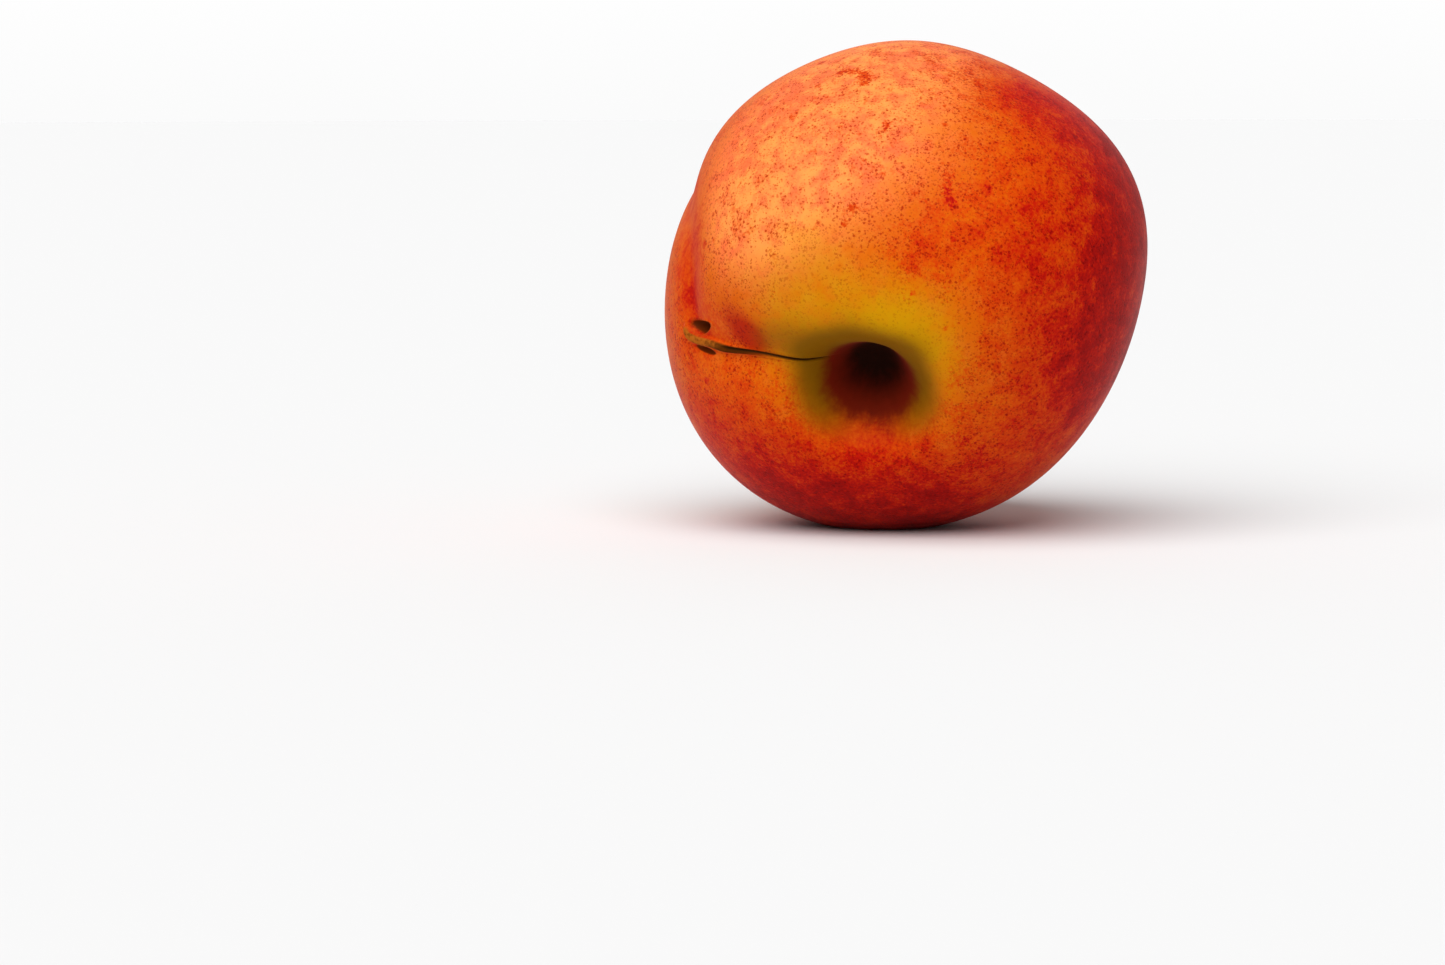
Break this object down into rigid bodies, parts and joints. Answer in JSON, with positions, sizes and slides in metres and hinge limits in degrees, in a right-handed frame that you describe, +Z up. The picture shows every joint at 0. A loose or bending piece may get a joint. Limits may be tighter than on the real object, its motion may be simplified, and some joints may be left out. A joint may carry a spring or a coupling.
{
  "type": "nectarine",
  "caption": "Whole ripe nectarine with a deep stem cavity, a suture between its cheeks and a small flat spot that it rests on.",
  "frame": {"origin": "on the resting plane, under the middle of the fruit's box", "axes": "+Z up as the fruit lies; the stem end faces -Y, tipped about 27 degrees below level, and the suture runs up the -X side"},
  "size_m": [0.0706, 0.0696, 0.0711],
  "materials": {
    "skin": "smooth waxy fruit skin, orange flushed with crimson"
  },
  "bodies": {
    "root": {"nectarine": "skin"}
  },
  "joints": []
}
